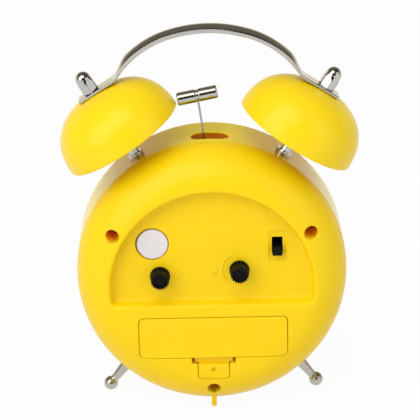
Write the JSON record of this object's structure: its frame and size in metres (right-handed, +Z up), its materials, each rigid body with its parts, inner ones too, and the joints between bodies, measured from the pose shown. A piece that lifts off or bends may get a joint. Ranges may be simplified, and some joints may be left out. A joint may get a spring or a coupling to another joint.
{
  "type": "twin bell alarm clock",
  "caption": "Round yellow twin bell alarm clock with a chromed handle, hammer and ball feet, rear knobs, light button, alarm switch and battery door.",
  "frame": {"origin": "on the table under the middle of the bounding box", "axes": "+Z up, dial towards -Y, rear cover towards +Y, +X to the left as seen from the rear"},
  "size_m": [0.1173, 0.051, 0.1543],
  "materials": {
    "yellow_plastic": "glossy",
    "yellow_enamel": "glossy",
    "chrome_plate": "polished",
    "zinc_steel": "satin",
    "clear_lens": "polished",
    "white_plastic": "matt",
    "movement_plastic": "matt",
    "gear_plastic": "matt",
    "brass_metal": "satin",
    "black_plastic": "semi-gloss",
    "lilac_plastic": "glossy",
    "black_hand": "matt",
    "red_hand": "matt",
    "lamp_clear": "glossy",
    "copper_wire": "satin",
    "board_green": "matt",
    "cell_sleeve": "satin"
  },
  "bodies": {
    "clock": {"case_band": "yellow_plastic", "back_cover": "yellow_plastic", "front_bezel": "yellow_plastic", "lens": "clear_lens", "dial": "white_plastic", "dial_ring": "white_plastic", "cover_screws": "zinc_steel", "bell_left": "yellow_enamel", "bell_right": "yellow_enamel", "bell_posts": "zinc_steel", "bell_sleeves": "chrome_plate", "acorn_nuts": "chrome_plate", "inside_nuts": "zinc_steel", "handle": "chrome_plate", "foot_left": "chrome_plate", "foot_right": "chrome_plate", "movement_front": "movement_plastic", "middle_plate": "movement_plastic", "movement_rear": "movement_plastic", "movement_screws": "zinc_steel", "dial_nut": "brass_metal", "stator": "zinc_steel", "coil": "copper_wire", "circuit_board": "board_green", "quartz_crystal": "zinc_steel", "lamp": "lamp_clear", "button_spring": "zinc_steel", "light_switch": "black_plastic", "switch_body": "black_plastic", "battery_cell": "cell_sleeve", "contact_plate": "zinc_steel", "contact_spring": "zinc_steel", "striker_bracket": "movement_plastic", "hammer_pivot": "zinc_steel", "motor": "zinc_steel"},
    "hammer": {"hammer_arm": "zinc_steel", "hammer_head": "chrome_plate"},
    "crank": {"crank_wheel": "gear_plastic"},
    "motor_shaft": {"motor_pinion": "brass_metal"},
    "minute": {"cannon_pinion": "brass_metal", "minute_hand": "black_hand"},
    "hour": {"hour_wheel": "gear_plastic", "hour_hand": "black_hand"},
    "minute_transfer": {"minute_wheel": "gear_plastic"},
    "time_setter": {"time_set_gear": "gear_plastic", "time_knob": "black_plastic"},
    "alarm": {"alarm_wheel": "gear_plastic", "alarm_hand": "black_hand"},
    "alarm_setter": {"alarm_set_gear": "gear_plastic", "alarm_knob": "black_plastic"},
    "second": {"second_wheel": "gear_plastic", "second_hand": "red_hand"},
    "intermediate": {"intermediate_wheel": "gear_plastic"},
    "rotor": {"rotor": "zinc_steel"},
    "third": {"third_wheel": "gear_plastic"},
    "centre": {"centre_wheel": "gear_plastic"},
    "light_button": {"light_button": "lilac_plastic"},
    "alarm_switch": {"switch_slider": "black_plastic"},
    "battery_door": {"battery_door": "yellow_plastic"}
  },
  "joints": [
    {"name": "hammer_swing", "type": "hinge", "parent": "clock", "child": "hammer", "pos_m": [0, 0.0063, 0.0935], "axis": [0, -1, 0], "range_deg": [0, 16.2]},
    {"name": "crank_turn", "type": "hinge", "parent": "clock", "child": "crank", "pos_m": [0, 0.0063, 0.0853], "axis": [0, -1, 0], "range_deg": [0, 180]},
    {"name": "motor_turn", "type": "hinge", "parent": "clock", "child": "motor_shaft", "pos_m": [-0.008, 0.0063, 0.0853], "axis": [0, 1, 0], "range_deg": [0, 720]},
    {"name": "minute_turn", "type": "hinge", "parent": "clock", "child": "minute", "pos_m": [0, 0.0063, 0.0555], "axis": [0, 1, 0], "continuous": true},
    {"name": "hour_turn", "type": "hinge", "parent": "clock", "child": "hour", "pos_m": [0, 0.0063, 0.0555], "axis": [0, 1, 0], "continuous": true},
    {"name": "minute_transfer_turn", "type": "hinge", "parent": "clock", "child": "minute_transfer", "pos_m": [0.00934, 0.0063, 0.05908], "axis": [0, 1, 0], "continuous": true},
    {"name": "time_knob_turn", "type": "hinge", "parent": "clock", "child": "time_setter", "pos_m": [0.0205, 0.0063, 0.0577], "axis": [0, 1, 0], "continuous": true},
    {"name": "alarm_turn", "type": "hinge", "parent": "clock", "child": "alarm", "pos_m": [0, 0.0063, 0.0555], "axis": [0, 1, 0], "continuous": true},
    {"name": "alarm_knob_turn", "type": "hinge", "parent": "clock", "child": "alarm_setter", "pos_m": [-0.01065, 0.0063, 0.0597], "axis": [0, 1, 0], "continuous": true},
    {"name": "second_turn", "type": "hinge", "parent": "clock", "child": "second", "pos_m": [0, 0.0063, 0.0555], "axis": [0, 1, 0], "continuous": true},
    {"name": "intermediate_turn", "type": "hinge", "parent": "clock", "child": "intermediate", "pos_m": [-0.00245, 0.0063, 0.06222], "axis": [0, 1, 0], "continuous": true},
    {"name": "rotor_turn", "type": "hinge", "parent": "clock", "child": "rotor", "pos_m": [-0.00785, 0.0063, 0.066], "axis": [0, 1, 0], "continuous": true},
    {"name": "third_turn", "type": "hinge", "parent": "clock", "child": "third", "pos_m": [-0.00536, 0.0063, 0.051], "axis": [0, 1, 0], "continuous": true},
    {"name": "centre_turn", "type": "hinge", "parent": "clock", "child": "centre", "pos_m": [0, 0.0063, 0.0555], "axis": [0, 1, 0], "continuous": true},
    {"name": "light_press", "type": "slide", "parent": "clock", "child": "light_button", "axis": [0, -1, 0], "range_m": [0, 0.0012], "stiffness_N_per_m": 400, "springref_m": -0.001, "deforming": ["button_spring"]},
    {"name": "alarm_switch_slide", "type": "slide", "parent": "clock", "child": "alarm_switch", "axis": [0, 0, 1], "range_m": [0, 0.0032]},
    {"name": "battery_door_swing", "type": "hinge", "parent": "clock", "child": "battery_door", "pos_m": [0, 0.0235, 0.0416], "axis": [1, 0, 0], "range_deg": [0, 70]}
  ],
  "couplings": [
    {"joint": "crank_turn", "follows": "hammer_swing", "ratio": 11.111},
    {"joint": "motor_turn", "follows": "hammer_swing", "ratio": 44.444},
    {"joint": "hour_turn", "follows": "minute_turn", "ratio": 0.083333},
    {"joint": "minute_transfer_turn", "follows": "minute_turn", "ratio": -0.33333},
    {"joint": "time_knob_turn", "follows": "minute_turn", "ratio": 0.66667},
    {"joint": "alarm_knob_turn", "follows": "alarm_turn", "ratio": -2.2857},
    {"joint": "intermediate_turn", "follows": "second_turn", "ratio": -5},
    {"joint": "rotor_turn", "follows": "second_turn", "ratio": 30},
    {"joint": "third_turn", "follows": "second_turn", "ratio": -0.125},
    {"joint": "centre_turn", "follows": "second_turn", "ratio": 0.016667}
  ]
}
